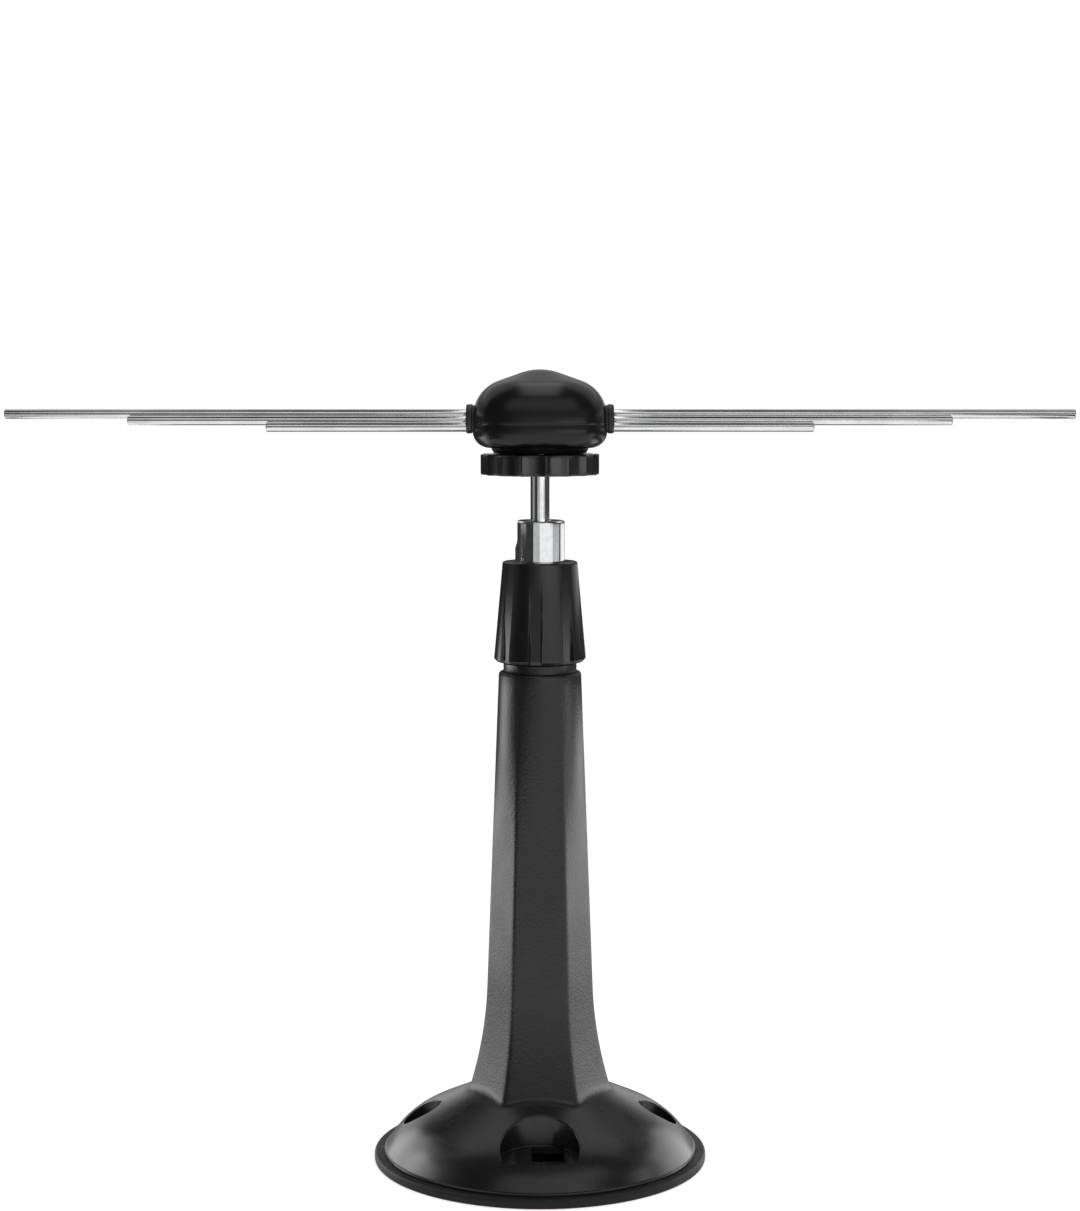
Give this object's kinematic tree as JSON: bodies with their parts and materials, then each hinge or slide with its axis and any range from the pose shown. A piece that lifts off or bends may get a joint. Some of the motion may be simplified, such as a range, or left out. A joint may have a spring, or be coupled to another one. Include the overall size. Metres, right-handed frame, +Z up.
{
  "type": "radio antenna",
  "caption": "Indoor radio antenna: stepped bright rods in a tilting, turning head, on a ball joint above a tapered column with a domed base.",
  "frame": {"origin": "on the floor under the middle of the column, at the underside of the base gasket", "axes": "+Z up along the column; +X along the rods, to the right in the picture; +Y to the back, where the aerial socket is"},
  "size_m": [0.3572, 0.1126, 0.2672],
  "materials": {
    "pedestal_plastic": "glossy, grainy on the column's side faces",
    "gasket_rubber": "matt",
    "collar_plastic": "satin",
    "chrome_plate": "polished plate",
    "pad_plastic": "plain",
    "knob_plastic": "satin",
    "brass_parts": "turned",
    "head_plastic": "satin to glossy",
    "grommet_rubber": "smooth",
    "rod_chrome": "polished rod",
    "zinc_steel": "zinc plated",
    "board_laminate": "green laminate",
    "ferrite": "dark sintered",
    "lead_wire": "tinned copper",
    "jack_nickel": "nickel plate"
  },
  "bodies": {
    "stand": {"pedestal": "pedestal_plastic", "base_gasket": "gasket_rubber"},
    "collar": {"clamp_collar": "collar_plastic"},
    "socket": {"ball_socket": "chrome_plate", "pressure_pad": "pad_plastic"},
    "stud": {"ball_stud": "chrome_plate"},
    "knob": {"lock_knob": "knob_plastic", "knob_nut": "brass_parts"},
    "head": {"head_lower_shell": "head_plastic", "head_upper_shell": "head_plastic", "boss_insert": "brass_parts", "grommet_left": "grommet_rubber", "grommet_right": "grommet_rubber", "rod_left_long": "rod_chrome", "rod_left_mid": "rod_chrome", "rod_left_short": "rod_chrome", "rod_right_long": "rod_chrome", "rod_right_mid": "rod_chrome", "rod_right_short": "rod_chrome", "terminal_left": "brass_parts", "terminal_right": "brass_parts", "clamp_screws": "zinc_steel", "balun_board": "board_laminate", "balun_core": "ferrite", "board_leads": "lead_wire", "board_screws": "zinc_steel", "coax_jack": "jack_nickel", "jack_nut": "jack_nickel", "head_screws": "zinc_steel"}
  },
  "joints": [
    {"name": "collar_turn", "type": "hinge", "parent": "stand", "child": "collar", "pos_m": [0, 0, 0.18], "axis": [0, 0, 1], "range_deg": [0, 360]},
    {"name": "socket_swivel", "type": "hinge", "parent": "stand", "child": "socket", "pos_m": [0, 0, 0.2113], "axis": [0, 0, 1], "continuous": true},
    {"name": "stud_tilt", "type": "hinge", "parent": "socket", "child": "stud", "pos_m": [0, 0, 0.2113], "axis": [0, -1, 0], "range_deg": [0, 90]},
    {"name": "knob_turn", "type": "hinge", "parent": "stud", "child": "knob", "pos_m": [0, 0, 0.2358], "axis": [0, 0, 1], "range_deg": [0, 360]},
    {"name": "head_turn", "type": "hinge", "parent": "stud", "child": "head", "pos_m": [0, 0, 0.25], "axis": [0, 0, 1], "range_deg": [-180, 180]}
  ]
}
